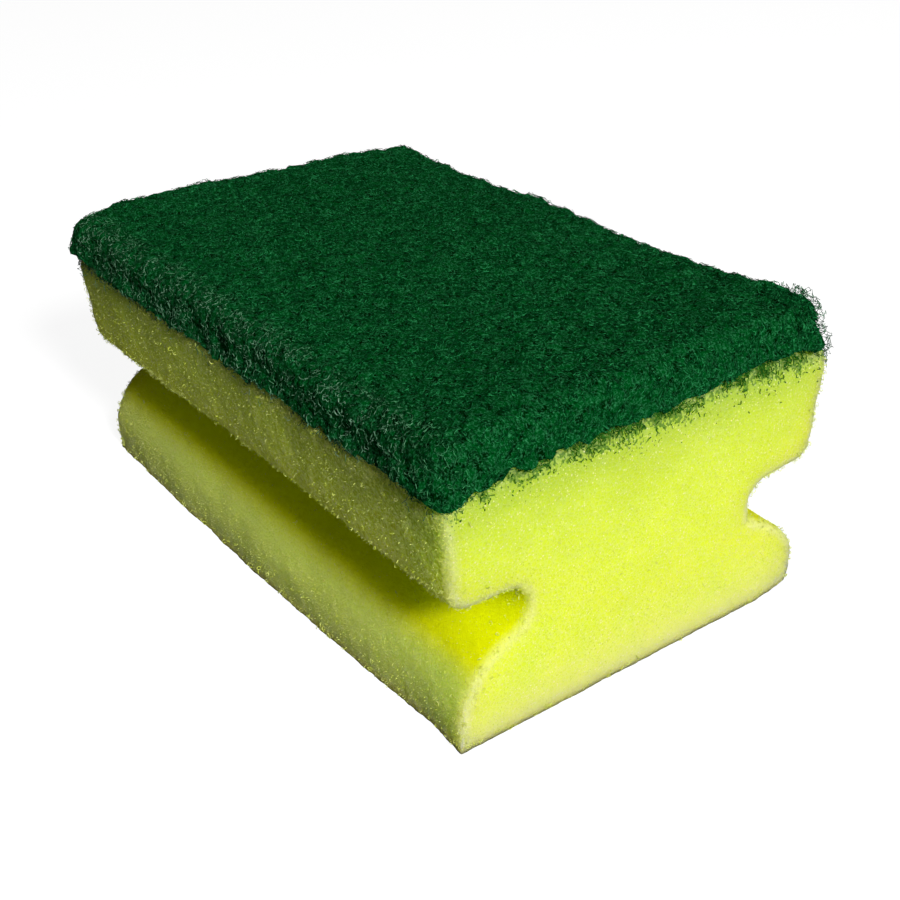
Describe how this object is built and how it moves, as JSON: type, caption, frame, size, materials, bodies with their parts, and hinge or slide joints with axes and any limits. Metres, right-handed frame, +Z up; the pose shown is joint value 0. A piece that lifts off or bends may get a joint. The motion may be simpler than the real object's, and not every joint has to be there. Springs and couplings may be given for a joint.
{
  "type": "cleaning sponge",
  "caption": "Waisted block of foam with a finger groove along each long side and a scouring pad bonded onto its bowed top.",
  "frame": {"origin": "middle of the base", "axes": "+X along the length and the grooves, +Y across the width, +Z up through the scouring pad"},
  "size_m": [0.1, 0.065, 0.0435],
  "materials": {
    "foam": "open-cell foam, lime yellow",
    "scouring_web": "nonwoven web of coarse fibres, dark green"
  },
  "bodies": {
    "root": {"foam_block": "foam", "scouring_pad": "scouring_web"}
  },
  "joints": []
}
